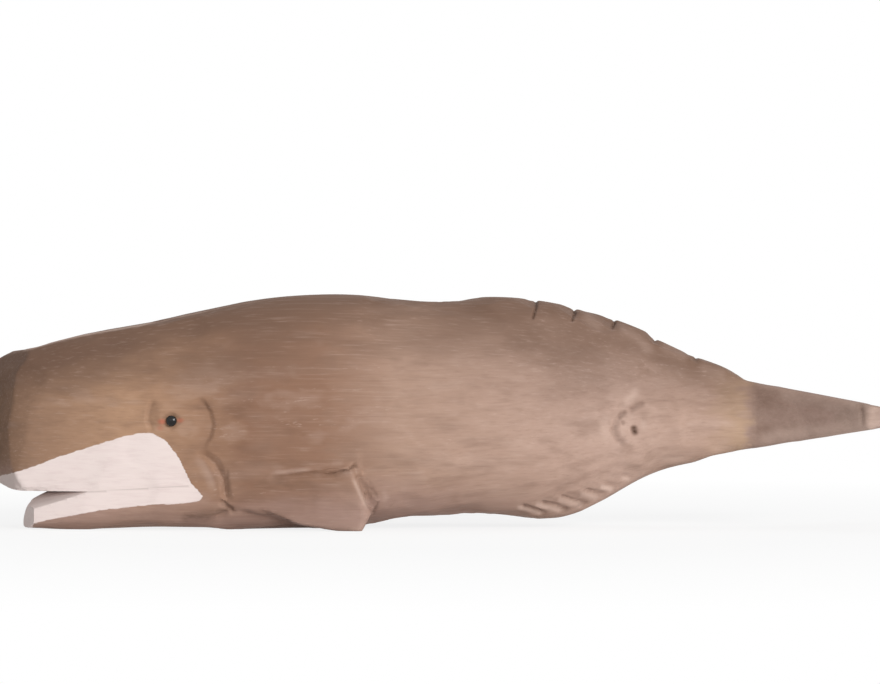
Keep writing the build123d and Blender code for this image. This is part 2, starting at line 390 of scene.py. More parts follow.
class Finish:
    """Shared ways to build a material's nodes."""

    name: str = "finish"

    def begin(self) -> bpy.types.Material:
        """Start an empty material with this finish's name.

        Returns:
            The new material, also kept with its node tree.
        """
        material = bpy.data.materials.new(self.name)
        material.use_nodes = True
        material.node_tree.nodes.clear()
        return material


@dataclass(frozen=True)
class WashedWood(Finish):
    """Limewood, knife-cut, under a dilute brown wash, with white paint on the mouth.

    The colour is darker along the back and lighter on the flank. The cuts are dark: partly wash held in
    them, partly painted shade in hollows, undercuts and under edges. Edges and raised grain are pale, so
    pale streaks run with the grain: mostly wash wiped off them, partly painted highlights on edges that
    face the lamps. The white paint is darkened as painted shade on facets turned from the lamps.
    """

    name: str = "washed_limewood"
    flank: tuple[tuple[float, str], ...] = (
        # The first stop is darkened as painted shade on the snout's front facets
        (0.00, "#6e5443"),
        (0.05, "#967660"),
        (0.15, "#b28d71"),
        (0.29, "#886652"),
        (0.37, "#8f6d59"),
        (0.45, "#a68876"),
        (0.70, "#b39789"),
        (0.795, "#ad9080"),
        (0.838, "#af927a"),
        (0.850, "#a3897c"),
        (0.930, "#a98e82"),
        (0.965, "#b49b8e"),
        (1.00, "#937e75"),
    )
    back: str = "#705647"
    belly: str = "#a08479"
    # Dark tone for the cuts' marks: wash held in cuts, and painted shade in hollows, undercuts and under edges
    cut_wash_and_shade: str = "#503a2d"
    # Pale tone for wear, grain and edge wear, and for painted highlights on edges that face the lamps
    pale_wear_and_highlight: str = "#cfb5a7"
    paint: str = "#e9dad5"
    # White paint in painted shade, on facets turned from the lamps
    paint_thin: str = "#dfcdc9"
    paint_in_painted_shade: str = "#bfaea8"
    eye_red: str = "#b4634c"
    fibre_mm: tuple[float, float] = (14.0, 0.5)
    streak_mm: tuple[float, float] = (60.0, 2.6)
    blotch_mm: tuple[float, float] = (30.0, 10.0)
    patch_mm: tuple[float, float] = (9.0, 4.5)
    fleck_mm: tuple[float, float] = (2.2, 0.6)
    brush_mm: tuple[float, float] = (14.0, 0.9)
    roughness: float = 0.66

    def grain(
        self, tree: bpy.types.NodeTree, place: bpy.types.NodeSocket, size: tuple[float, float], detail: float
    ) -> bpy.types.NodeSocket:
        """Noise drawn out along the grain.

        Args:
            tree: The material's nodes.
            place: Object coordinates.
            size: Length along the grain and width across it, in millimetres.
            detail: How many finer layers the noise has.

        Returns:
            The noise's value socket.
        """
        along, across = 1 / (size[0] * MM), 1 / (size[1] * MM)
        scaled = add_node(tree, "ShaderNodeMapping", {"Scale": (along, across, across)}, {"Vector": place})
        noise = add_node(
            tree,
            "ShaderNodeTexNoise",
            {"Scale": 1.0, "Detail": detail, "Roughness": 0.6},
            {"Vector": scaled.outputs[0]},
        )
        return noise.outputs[0]

    def make(self) -> bpy.types.Material:
        """Build the material.

        Returns:
            The finished material.
        """
        material = self.begin()
        tree = material.node_tree

        def value(name: str) -> bpy.types.NodeSocket:
            """A stored number of the mesh."""
            return add_node(tree, "ShaderNodeAttribute", {"attribute_name": name}).outputs["Fac"]

        def fed(kind: str, settings: dict[Any, Any], given: dict[int, Any], out: int):
            """A node whose inputs are each a socket, a hex colour or a number."""
            links = {}
            for socket, source in given.items():
                if isinstance(source, bpy.types.NodeSocket):
                    links[socket] = source
                else:
                    settings[socket] = linear(source) if isinstance(source, str) else source
            return add_node(tree, kind, settings, links).outputs[out]

        def remap(source, low, high, to_low=0.0, to_high=1.0):
            """A number moved softly from one range to another, held at the ends."""
            given = {0: source, 1: low, 2: high, 3: to_low, 4: to_high}
            return fed("ShaderNodeMapRange", {"interpolation_type": "SMOOTHSTEP"}, given, 0)

        def mix(share, first, second):
            """Two colours mixed."""
            return fed("ShaderNodeMix", {"data_type": "RGBA"}, {0: share, 6: first, 7: second}, 2)

        def maths(operation: str, first, second):
            """Arithmetic on two numbers."""
            return fed("ShaderNodeMath", {"operation": operation}, {0: first, 1: second}, 0)

        place = add_node(tree, "ShaderNodeTexCoord").outputs["Object"]
        fibre = self.grain(tree, place, self.fibre_mm, 3.0)
        streak = self.grain(tree, place, self.streak_mm, 3.0)
        blotch = self.grain(tree, place, self.blotch_mm, 2.0)
        patch = self.grain(tree, place, self.patch_mm, 2.0)
        fleck = self.grain(tree, place, self.fleck_mm, 2.0)
        brush = self.grain(tree, place, self.brush_mm, 3.0)

        axis = add_node(tree, "ShaderNodeSeparateXYZ", {}, {0: place}).outputs[0]
        ends = {1: CAD_BOX[0].x, 2: CAD_BOX[1].x, 3: 0.0, 4: 1.0}
        length_share = add_node(tree, "ShaderNodeMapRange", ends, {0: axis}).outputs[0]
        worn_share = maths("ADD", length_share, remap(patch, 0.25, 0.75, -0.012, 0.012))
        flank = add_node(tree, "ShaderNodeValToRGB", {}, {0: worn_share}, self.flank).outputs[0]

        wood = mix(remap(blotch, 0.52, 0.8, 0.0, 0.16), flank, self.pale_wear_and_highlight)
        wood = mix(remap(patch, 0.48, 0.28, 0.0, 0.14), wood, self.pale_wear_and_highlight)
        flecks = maths("MULTIPLY", remap(fleck, 0.58, 0.76), remap(streak, 0.5, 0.3, 0.0, 0.28))
        wood = mix(flecks, wood, self.pale_wear_and_highlight)
        height = maths("ADD", value("height"), remap(blotch, 0.2, 0.8, -0.08, 0.08))
        dark_from = remap(length_share, 0.42, 0.66, 0.60, 0.30)
        dark_to = maths("ADD", remap(length_share, 0.25, 0.5, 0.93, 1.08), remap(length_share, 0.5, 0.66, 0.0, -0.04))
        dark_to = maths("ADD", dark_to, remap(length_share, 0.80, 0.88, 0.0, 0.6))
        wood = mix(remap(height, dark_from, dark_to), wood, self.back)
        low = maths("MULTIPLY", remap(height, 0.24, 0.0, 0.0, 0.8), remap(length_share, 0.7, 0.5))
        wood = mix(low, wood, self.belly)
        wood = mix(remap(streak, 0.46, 0.74, 0.0, 0.26), wood, self.back)
        wood = mix(remap(patch, 0.5, 0.72, 0.0, 0.22), wood, self.back)
        wood = mix(remap(fibre, 0.5, 0.78, 0.0, 0.20), wood, self.back)
        wood = mix(remap(fibre, 0.46, 0.24, 0.0, 0.14), wood, self.pale_wear_and_highlight)
        wood = mix(maths("MULTIPLY", value("edge"), remap(fleck, 0.3, 0.7, 0.4, 0.6)), wood, self.pale_wear_and_highlight)
        # Pale marks: wear, and painted highlights on fin and fluke edges and along the head's top rim
        wood = mix(value("pale"), wood, self.pale_wear_and_highlight)
        # Dark marks: wash held in cuts, and painted shade in hollows, undercuts, under the jaw and on facets
        wood = mix(maths("MULTIPLY", value("dark"), remap(fleck, 0.3, 0.7, 0.7, 1.1)), wood, self.cut_wash_and_shade)
        wood = mix(value("red"), wood, self.eye_red)

        wobble = remap(fleck, 0.2, 0.8, -0.14, 0.14)
        covered = remap(maths("ADD", value("paint"), wobble), -0.12, 0.12)
        coat = mix(remap(brush, 0.44, 0.72, 0.0, 0.6), self.paint, self.paint_thin)
        # White paint darkened as painted shade where facets face a given way
        coat = mix(value("painted_shade_on_paint"), coat, self.paint_in_painted_shade)
        # The cuts' dark marks darken the paint too: wash and painted shade
        coat = mix(maths("MULTIPLY", value("dark"), 0.5), coat, self.cut_wash_and_shade)
        colour = mix(covered, wood, coat)

        relief = maths("ADD", maths("MULTIPLY", fibre, 0.6), maths("MULTIPLY", streak, 0.8))
        skin = {"Strength": 0.3, "Distance": 0.2 * MM}
        bump = add_node(tree, "ShaderNodeBump", skin, {"Height": relief}).outputs[0]
        rough = remap(fibre, 0.3, 0.7, self.roughness - 0.06, self.roughness + 0.08)
        shader = add_node(
            tree,
            "ShaderNodeBsdfPrincipled",
            {"IOR": 1.45, "Specular IOR Level": 0.25},
            {"Base Color": colour, "Roughness": rough, "Normal": bump},
        )
        add_node(tree, "ShaderNodeOutputMaterial", {}, {"Surface": shader.outputs[0]})
        return material


@dataclass(frozen=True)
class Speckled(Finish):
    """A plain material whose two tones drift into each other in specks."""

    light: str = "#c9a67f"
    dark: str = "#a67f58"
    speck_mm: float = 0.8
    roughness: float = 0.7
    coat: float = 0.0
    shine: float = 0.5

    def make(self) -> bpy.types.Material:
        """Build the material.

        Returns:
            The finished material.
        """
        material = self.begin()
        tree = material.node_tree
        place = add_node(tree, "ShaderNodeTexCoord").outputs["Object"]
        size = {"Scale": 1 / (self.speck_mm * MM), "Detail": 3.0}
        noise = add_node(tree, "ShaderNodeTexNoise", size, {"Vector": place}).outputs[0]
        stops = ((0.38, self.dark), (0.68, self.light))
        colour = add_node(tree, "ShaderNodeValToRGB", {}, {0: noise}, stops).outputs[0]
        shader = add_node(
            tree,
            "ShaderNodeBsdfPrincipled",
            {"Specular IOR Level": self.shine, "Roughness": self.roughness, "Coat Weight": self.coat},
            {"Base Color": colour},
        )
        add_node(tree, "ShaderNodeOutputMaterial", {}, {"Surface": shader.outputs[0]})
        return material


@dataclass(frozen=True)
class BeadGloss(Speckled):
    """Black glass bead: nearly no colour of its own, so the eye sees only the lamps in it."""

    name: str = "black_glass_bead"
    light: str = "#120d0b"
    dark: str = "#050404"
    speck_mm: float = 0.5
    roughness: float = 0.25
    coat: float = 0.25
    shine: float = 0.25


@dataclass(frozen=True)
class PegBeech(Speckled):
    """Turned beech pegs, bare: pale, with short dark flecks."""

    name: str = "bare_beech"


# The sawn mouth and jaw from the side, in X and Z millimetres
MOUTH_SAW: Line = [
    (-130.0, 12.0), (-105.0, 12.0), (-103.35, 10.68), (-101.59, 9.76), (-99.68, 9.19), (-97.7, 9.0),
    (-81.8, 9.0), (-51.5, 11.0), (-51.5, -20.0), (-130.0, -20.0),
]
JAW_SAW: Line = [
    (-97.4, 4.2), (-96.43, 5.85), (-95.04, 7.18), (-93.36, 8.08), (-91.5, 8.5), (-81.8, 9.0), (-51.5, 11.0),
    (-51.5, -20.0), (-96.5, -20.0), (-96.5, 0.0), (-97.4, 0.9),
]
FLUKE_SAW: Line = [(73.2, -20.0), (130.0, -20.0), (130.0, 80.0), (73.2, 80.0)]

# Outline of the white paint over lip and jaw. It runs past the wood where the paint does.
MOUTH_PAINT: Line = [
    (-108.0, 11.0), (-99.6, 13.2), (-94.3, 14.8), (-89.2, 16.9), (-81.8, 19.2), (-73.9, 21.7), (-69.3, 22.7),
    (-66.5, 22.5), (-63.5, 20.8), (-60.7, 17.2), (-58.6, 13.0), (-57.7, 11.2), (-54.9, 8.0), (-55.6, 7.1),
    (-59.1, 6.4), (-67.2, 6.0), (-78.8, 4.7), (-92.2, 2.1), (-94.6, 1.5), (-95.4, -0.4), (-108.0, -0.4),
]

# Flats chopped on the corners of the snout and of the jaw's tip: a point, and the way it faces
SNOUT_CHOPS: tuple[tuple[Spot, Spot], ...] = (
    ((-99.6, -12.6, 28.0), (-0.345, -0.936, 0.064)),
    ((-99.7, -12.6, 31.0), (-0.80, -0.60, 0.149)),
    ((-96.5, -10.5, 41.0), (-0.70, -0.45, 0.55)),
    ((-101.2, -12.4, 15.5), (-0.72, -0.64, -0.27)),
    ((-99.0, 13.1, 25.0), (-0.38, 0.92, 0.05)),
    ((-99.8, 12.6, 25.0), (-0.80, 0.60, -0.02)),
    ((-97.2, 10.5, 41.0), (-0.70, 0.45, 0.55)),
)
JAW_CHOPS: tuple[tuple[Spot, Spot], ...] = (
    ((-94.2, -14.5, 4.0), (-0.82, -0.57, 0.0)),
    ((-93.4, -14.7, 4.9), (-0.34, -0.56, 0.75)),
    ((-94.5, 14.5, 4.0), (-0.82, 0.57, 0.0)),
    ((-93.6, 14.7, 4.9), (-0.34, 0.56, 0.75)),
)

# Cuts, in X and Z millimetres
HEAD_CUTS: tuple[Cut, ...] = (
    Cut([(-56.4, 31.0), (-54.9, 29.7), (-53.5, 27.5), (-52.8, 24.8), (-53.4, 22.0), (-55.4, 18.8)], 0.60, 1.0, 3.8, 0.09, 4.0),
    Cut([(-66.3, 30.4), (-67.4, 28.0), (-67.6, 25.7), (-66.6, 23.0)], 0.55, 2.6, 1.0, 0.12),
    Cut([(-56.4, 18.4), (-54.2, 17.2), (-52.2, 15.6), (-50.3, 12.0), (-49.7, 8.2), (-48.9, 6.0)], 0.9, 1.7, 1.0, 0.15, 3.0),
    Cut([(-49.4, 14.6), (-49.1, 10.6), (-48.9, 7.4)], 0.3, 0.5, 0.5, 0.25, 1.0),
    # The hollow behind the jaw's corner: its dark, and the soft dark to its lower left, is painted shade
    Cut([(-50.0, 6.6), (-49.1, 5.6), (-48.3, 5.1)], 0.7, 0.8, 1.5, 0.40, 0.0, CutShape.GOUGE),
    Cut([(-48.6, 5.2), (-50.4, 3.8), (-52.8, 3.0)], 0.5, 1.4, 0.9, 0.34, 2.0, CutShape.GOUGE),
    Cut([(-52.4, 4.3), (-50.4, 4.9), (-48.5, 5.3)], 0.0, 1.1, 1.6, 0.50, 0.8, CutShape.GOUGE),
    # Dark bands along the jaw's lower side and under its back end: painted shade
    Cut([(-78.0, 2.6), (-66.0, 3.8), (-56.0, 4.0)], 0.0, 2.4, 3.0, 0.18, 5.0, CutShape.GOUGE),
    Cut([(-61.0, 3.0), (-55.0, 3.5), (-50.6, 4.1)], 0.0, 2.2, 2.8, 0.54, 3.0, CutShape.GOUGE),
    Cut([(-57.2, 17.2), (-55.0, 15.6), (-53.2, 12.4), (-52.0, 8.6)], 0.0, 1.2, 2.0, -0.22, 3.0, CutShape.GOUGE),
    Cut([(-64.6, 25.6), (-62.3, 27.1), (-60.0, 25.8)], 0.25, 0.7, 0.7, 0.2, 1.0),
    Cut([(-64.6, 25.2), (-62.3, 23.8), (-60.0, 25.4)], 0.25, 0.7, 0.7, 0.2, 1.0),
    Cut([(-82.5, 8.98), (-66.0, 10.06), (-58.0, 10.6)], 0.12, 0.3, 0.3, 0.12, 6.0),
    # A dark stain on the snout's front corner: painted shade of a facet turned from the lamps
    Cut([(-89.6, 39.0), (-91.6, 36.0), (-92.2, 32.5), (-95.2, 24.8), (-97.4, 18.1)], 0.0, 0.6, 7.0, 0.09, 4.0),
)
# Round the fin much colour is painted light: painted shade below its top edge, in the undercut and on the hollow's wall
# behind it; painted highlights on the strip above its top edge and on its trailing edge
FIN_CUTS: tuple[Cut, ...] = (
    Cut([(-39.8, 12.7), (-36.5, 12.9), (-29.9, 13.6), (-25.2, 13.3), (-21.4, 14.4), (-19.3, 15.7)], 0.6, 0.5, 2.4, 0.26, 2.0),
    Cut([(-26.5, 13.3), (-24.0, 13.5), (-21.4, 14.4), (-19.2, 15.7)], 0.9, 0.5, 1.0, 0.55, 1.2),
    Cut([(-39.6, 13.2), (-34.4, 13.9), (-29.0, 14.4)], 0.0, 0.9, 0.7, -0.34, 3.0, CutShape.GOUGE),
    Cut([(-25.2, 15.6), (-22.2, 15.8)], 0.0, 1.0, 1.0, -0.16, 1.0, CutShape.GOUGE),
    Cut([(-39.4, 12.0), (-36.0, 11.0), (-33.0, 9.6)], 0.0, 1.6, 0.8, 0.26, 3.0, CutShape.GOUGE),
    Cut([(-29.6, 11.5), (-28.9, 7.4), (-28.6, 4.0)], 0.0, 2.2, 2.2, 0.18, 4.0, CutShape.GOUGE),
    Cut([(-19.7, 13.2), (-18.9, 11.4), (-17.4, 8.0), (-15.5, 3.6)], 0.8, 3.0, 0.6, 0.06, 1.5, leaf=True),
    Cut([(-18.6, 12.4), (-15.8, 10.0), (-14.6, 8.5), (-14.3, 6.6), (-15.3, 3.8)], 0.0, 0.35, 4.2, 0.34, 0.0, leaf=True),
    Cut([(-11.9, 5.2), (-10.6, 6.6)], 0.0, 0.5, 0.5, 0.15, 0.6, CutShape.GOUGE),
    Cut([(-20.3, 12.8), (-18.5, 8.8), (-16.6, 4.8)], 0.0, 0.9, 0.8, -0.40, 2.5, CutShape.GOUGE),
    Cut([(-13.6, 9.8), (-12.6, 8.0), (-13.2, 6.0)], 0.0, 1.3, 1.0, -0.22, 1.5, CutShape.GOUGE),
    Cut([(-42.0, 4.9), (-38.0, 3.4), (-33.4, 1.7)], 0.35, 0.5, 1.2, 0.25, 3.0),
)
PLEAT_LINES: tuple[tuple[Line, float], ...] = (
    ([(19.1, 5.7), (21.9, 4.8), (25.2, 3.5)], 0.44),
    ([(23.6, 6.4), (27.3, 5.7), (30.4, 4.3)], 0.40),
    ([(28.0, 7.9), (31.6, 6.7), (34.9, 5.7)], 0.28),
    ([(34.0, 9.3), (36.0, 8.8), (39.2, 8.0)], 0.20),
    ([(38.2, 10.8), (41.8, 9.9)], 0.08),
    ([(42.6, 12.7), (45.2, 11.9)], 0.04),
)
PLEAT_STROKES: tuple[tuple[Line, float, float], ...] = (
    ([(17.8, 5.2), (20.9, 4.3), (24.0, 3.4)], 0.65, 0.75),
    ([(22.1, 5.8), (25.4, 4.9), (28.7, 4.0)], 0.85, 0.70),
    ([(27.3, 6.8), (30.5, 5.9), (33.7, 5.1)], 1.0, 0.50),
    ([(32.6, 8.2), (35.0, 7.5), (37.3, 6.8)], 0.9, 0.60),
    ([(37.3, 9.8), (39.0, 9.4), (40.8, 8.9)], 0.8, 0.95),
    ([(42.3, 11.8), (44.9, 11.3)], 0.7, 0.60),
)
PLEAT_CUTS: tuple[Cut, ...] = (
    *(Cut(line, 0.25 + 0.6 * shade, 0.45, 1.5, shade, 0.9) for line, shade in PLEAT_LINES),
    *(Cut(line, 0.0, 1.35 * wide, 1.35 * wide, -pale, 1.0, CutShape.GOUGE) for line, wide, pale in PLEAT_STROKES),
)
BACK_CUTS: tuple[Cut, ...] = (
    Cut(
        [(3.0, 53.0), (8.0, 50.7), (21.0, 47.5), (35.0, 46.0), (47.8, 41.4), (57.8, 35.4), (64.5, 32.8)],
        0.35, 2.4, 3.2, 0.10, 5.0,
    ),
    Cut([(14.0, 43.4), (24.0, 42.9), (34.0, 41.8), (42.0, 39.4)], 0.0, 3.4, 3.4, 0.16, 6.0, CutShape.GOUGE),
    Cut([(26.0, 37.6), (34.0, 35.8), (41.0, 33.4)], 0.0, 3.6, 3.6, 0.12, 5.0, CutShape.GOUGE),
    Cut([(34.6, 49.4), (36.8, 47.4)], 0.0, 2.2, 2.2, -0.13, 0.0, CutShape.GOUGE),
    Cut([(43.0, 46.6), (46.6, 44.4), (48.6, 42.0)], 0.0, 2.2, 1.6, -0.13, 0.0, CutShape.GOUGE),
    Cut([(53.2, 42.2), (57.0, 40.6)], 0.0, 2.2, 2.2, -0.13, 0.0, CutShape.GOUGE),
    Cut([(62.0, 37.6), (66.0, 36.2)], 0.0, 2.0, 2.0, -0.11, 0.0, CutShape.GOUGE),
)
KNUCKLES: tuple[Spot, ...] = (
    (22.4, 4.8, 0.50), (31.6, 3.4, 0.50), (41.0, 2.6, 0.50), (51.0, 1.4, 0.42), (60.5, 1.0, 0.34),
)
KNOT_CUTS: tuple[Cut, ...] = tuple(
    Cut(line, depth, wide, wide, shade, fade, CutShape.GOUGE, Flank.LEFT)
    for line, depth, wide, shade, fade in (
        ([(48.0, 29.5), (45.9, 28.5), (44.0, 27.4)], 0.40, 1.1, 0.42, 1.2),
        ([(43.7, 27.5), (42.1, 26.4), (41.5, 25.0)], 0.40, 1.0, 0.46, 1.0),
        ([(41.9, 26.0), (40.6, 23.2), (41.7, 20.9), (43.8, 19.8)], 0.45, 1.4, 0.38, 1.8),
        ([(42.6, 24.9), (42.8, 24.7)], 0.3, 0.8, 0.46, 0.0),
        ([(45.3, 23.4), (45.5, 22.6)], 0.8, 1.1, 1.0, 0.0),
        ([(46.6, 33.6), (44.8, 30.9), (42.4, 28.3)], 0.0, 1.7, -0.34, 2.4),
        ([(47.6, 24.8), (47.5, 23.8)], 0.0, 1.2, -0.30, 0.0),
        ([(39.2, 27.0), (38.0, 23.6), (39.4, 20.4)], 0.0, 1.5, -0.20, 2.0),
    )
)
# The pale bands along the fluke's upper and lower faces are painted highlights on facets
FLUKE_CUTS: tuple[Cut, ...] = (
    Cut([(77.0, 30.6), (83.0, 29.6), (90.0, 28.2), (97.0, 27.4)], 0.15, 0.6, 2.2, 0.0, 3.0),
    Cut([(78.5, 31.6), (84.0, 30.3), (91.0, 29.0), (97.5, 28.2)], 0.0, 1.8, 2.2, -0.28, 3.0, CutShape.GOUGE),
    Cut([(91.0, 27.4), (98.0, 26.8)], 0.0, 1.6, 1.6, -0.20, 2.5, CutShape.GOUGE),
    Cut([(97.0, 29.6), (97.2, 27.0), (97.4, 24.6)], 0.25, 0.5, 0.5, 0.12, 0.6),
    Cut([(74.5, 20.4), (81.0, 22.0), (89.0, 23.2), (98.0, 24.6)], 0.0, 2.8, 2.8, -0.40, 2.0, CutShape.GOUGE),
)


@dataclass
class Blank:
    """The whole figure in one block of wood, carved before the jaw and fluke are parted from it."""

    nodes: tuple[str, ...] = (
        "body", "lip_paint", "wood_knot", "lower_jaw", "jaw_paint", "tail_fluke", "jaw_pegs", "fluke_dowels",
    )
    grid: float = 0.64
    slit_fill: float = 0.55
    facets: KnifeFacets = KnifeFacets(count=420, reach=8.0, bite=0.22, most=0.55, seed=11)
    cuts: tuple[Cut, ...] = (
        *HEAD_CUTS, *FIN_CUTS, *PLEAT_CUTS, *BACK_CUTS, *KNOT_CUTS, *FLUKE_CUTS,
    )
    fine_boxes: tuple[tuple[float, float, float, float], ...] = (
        (-69.0, -58.0, 21.5, 31.5),
        (-58.0, -47.5, 3.0, 31.5),
        (-21.0, -13.2, 2.5, 15.0),
        (16.0, 31.0, 2.5, 8.5),
        (31.0, 47.0, 4.5, 14.0),
        (38.5, 49.0, 19.0, 31.0),
    )
    obj: Optional[bpy.types.Object] = field(default=None, repr=False)
    edges: Optional[np.ndarray] = field(default=None, repr=False)
    top: Optional[np.ndarray] = field(default=None, repr=False)
    bottom: Optional[np.ndarray] = field(default=None, repr=False)
    rim: Optional[np.ndarray] = field(default=None, repr=False)
    steps: np.ndarray = field(default_factory=lambda: np.arange(-104.0, 105.0, 2.0), repr=False)

    def block_out(self) -> None:
        """Fuse the CAD nodes into one even skin and chop the snout's corners."""
        wood = copy_of_nodes("wood", self.nodes)
        filler = copy_of_nodes("slit_filler", ("lower_jaw",))
        bpy.ops.object.mode_set(mode="EDIT")
        bpy.ops.mesh.select_all(action="SELECT")
        bpy.ops.transform.translate(value=(0, 0, self.slit_fill * MM))
        bpy.ops.object.mode_set(mode="OBJECT")
        self.obj = joined("blank", (wood, filler))
        apply_modifier(self.obj, "REMESH", mode="VOXEL", voxel_size=self.grid * MM, use_smooth_shade=True)
        for spot, facing in SNOUT_CHOPS:
            chop(self.obj, spot, facing)
        apply_modifier(self.obj, "REMESH", mode="VOXEL", voxel_size=self.grid * MM, use_smooth_shade=True)
        apply_modifier(self.obj, "SMOOTH", factor=0.5, iterations=2)
        self.measure()

    def measure(self) -> None:
        """Note the top and bottom of the figure along its length, and half the width of its top."""
        points = points_of(self.obj)
        self.top, self.bottom, self.rim = (np.zeros(len(self.steps)) for _ in range(3))
        for number, step in enumerate(self.steps):
            _, y, z = points[np.abs(points[:, 0] - step) < 1.2].T
            self.top[number], self.bottom[number] = z.max(), z.min()
            self.rim[number] = np.abs(y[z > z.max() - 0.9]).max()

    def height_share(self, points: np.ndarray) -> np.ndarray:
        """Height of each point as a share of the figure's depth there."""
        low = np.interp(points[:, 0], self.steps, self.bottom)
        high = np.interp(points[:, 0], self.steps, self.top)
        return np.clip((points[:, 2] - low) / np.maximum(high - low, 1), 0, 1)

    def knuckle_cuts(self) -> tuple[Cut, ...]:
        """Nicks across the back, each a little shorter towards the tail.

        Returns:
            The cuts, drawn down from the back's own height.
        """
        made = []
        for x, drop, depth in KNUCKLES:
            top = float(np.interp(x, self.steps, self.top))
            nick = [(x + 0.4, top + 2.0), (x, top - 0.4 * drop), (x - 0.9, top - drop)]
            made.append(Cut(nick, depth, 0.45, 0.55, 0.85, 0.9))
            mouth = [(x + 0.5, top + 2.0), (x + 0.1, top - 0.5 - 0.15 * drop)]
            made.append(Cut(mouth, 0.3 * depth, 0.7, 0.9, 0.85, 0.8))
        return tuple(made)

    def refine(self) -> None:
        """Split the flanks' faces where small cuts go. Each box is X from, X to, Z from, Z to."""
        mesh = self.obj.data
        middles = np.zeros(len(mesh.polygons) * 3, np.float32)
        mesh.polygons.foreach_get("center", middles)
        x, y, z = (middles.reshape(-1, 3) / MM).T
        wanted = np.zeros(len(x), bool)
        for x_low, x_high, z_low, z_high in self.fine_boxes:
            wanted |= (x > x_low) & (x < x_high) & (z > z_low) & (z < z_high) & (np.abs(y) > 8)
        ridge = np.interp(x, self.steps, self.top)
        for nick, drop, _ in KNUCKLES:
            wanted |= (np.abs(x - nick) < 1.9) & (z > ridge - drop - 1.5)
        select_only(self.obj)
        bpy.ops.object.mode_set(mode="EDIT")
        bpy.ops.mesh.select_mode(type="FACE")
        bpy.ops.mesh.select_all(action="DESELECT")
        bpy.ops.object.mode_set(mode="OBJECT")
        mesh.polygons.foreach_set("select", wanted)
        bpy.ops.object.mode_set(mode="EDIT")
        bpy.ops.mesh.subdivide(number_cuts=1, smoothness=0.0)
        bpy.ops.object.mode_set(mode="OBJECT")

    def set_fin_feet(self) -> None:
        """Press the jaw's tip and the fins' feet down to the table, and hollow the belly behind them."""
        points = points_of(self.obj)
        x, y, z = points.T
        low = 1 - smooth_step(1.0, 6.0, z)
        foot = smooth_step(15.0, 17.5, np.abs(y)) * smooth_step(-38, -21, x) * smooth_step(-15.5, -18.5, x)
        belly = smooth_step(17.5, 14.0, np.abs(y)) * smooth_step(-21, -16, x) * smooth_step(0, -9, x)
        chin = smooth_step(-64, -84, x)
        points[:, 2] = np.maximum(z + low * (1.1 * belly - 1.0 * foot - 0.7 * chin), 0.05)
        points[:, 1] = y + np.sign(y) * 0.8 * low * foot
        move_points(self.obj, points)

    def carve(self) -> None:
        """Take off the knife's flats, soften their ridges a little, then make the cuts."""
        points, normals = points_of(self.obj), normals_of(self.obj)
        depth = self.facets.depth_at(points, normals) * (1 - 0.7 * smooth_step(70, 78, points[:, 0]))
        move_points(self.obj, points - normals * depth[:, None])
        self.set_fin_feet()
        apply_modifier(self.obj, "SMOOTH", factor=0.4, iterations=1)
        self.measure()
        self.cuts = (*self.cuts, *self.knuckle_cuts())
        self.refine()
        points, normals = points_of(self.obj), normals_of(self.obj)
        depth = np.zeros(len(points))
        for cut in self.cuts:
            if cut.depth:
                depth = np.maximum(depth, cut.depth * cut.share_at(points))
        depth = depth * smooth_step(0.9, 0.6, np.abs(normals[:, 0]))
        move_points(self.obj, points - normals * depth[:, None])
        self.edges = self.worn_edges()
        log.info("blank: %d faces", len(self.obj.data.polygons))

    def worn_edges(self) -> np.ndarray:
        """How sharply the skin stands out at each corner, from 0 to 1."""
        points, normals = points_of(self.obj), normals_of(self.obj)
        mesh = self.obj.data
        pairs = np.zeros(len(mesh.edges) * 2, np.int32)
        mesh.edges.foreach_get("vertices", pairs)
        pairs = pairs.reshape(-1, 2)
        count = np.maximum(np.bincount(pairs.ravel(), minlength=len(points)), 1).astype(float)

        def around(values: np.ndarray) -> np.ndarray:
            """Mean of each corner's neighbours."""
            total = np.zeros_like(values)
            np.add.at(total, pairs[:, 0], values[pairs[:, 1]])
            np.add.at(total, pairs[:, 1], values[pairs[:, 0]])
            return total / (count if values.ndim == 1 else count[:, None])

        flat = points
        for _ in range(6):
            flat = around(flat)
        proud = ((points - flat) * normals).sum(1)
        for _ in range(3):
            proud = around(proud)
        return smooth_step(0.10, 0.34, proud) * 0.5


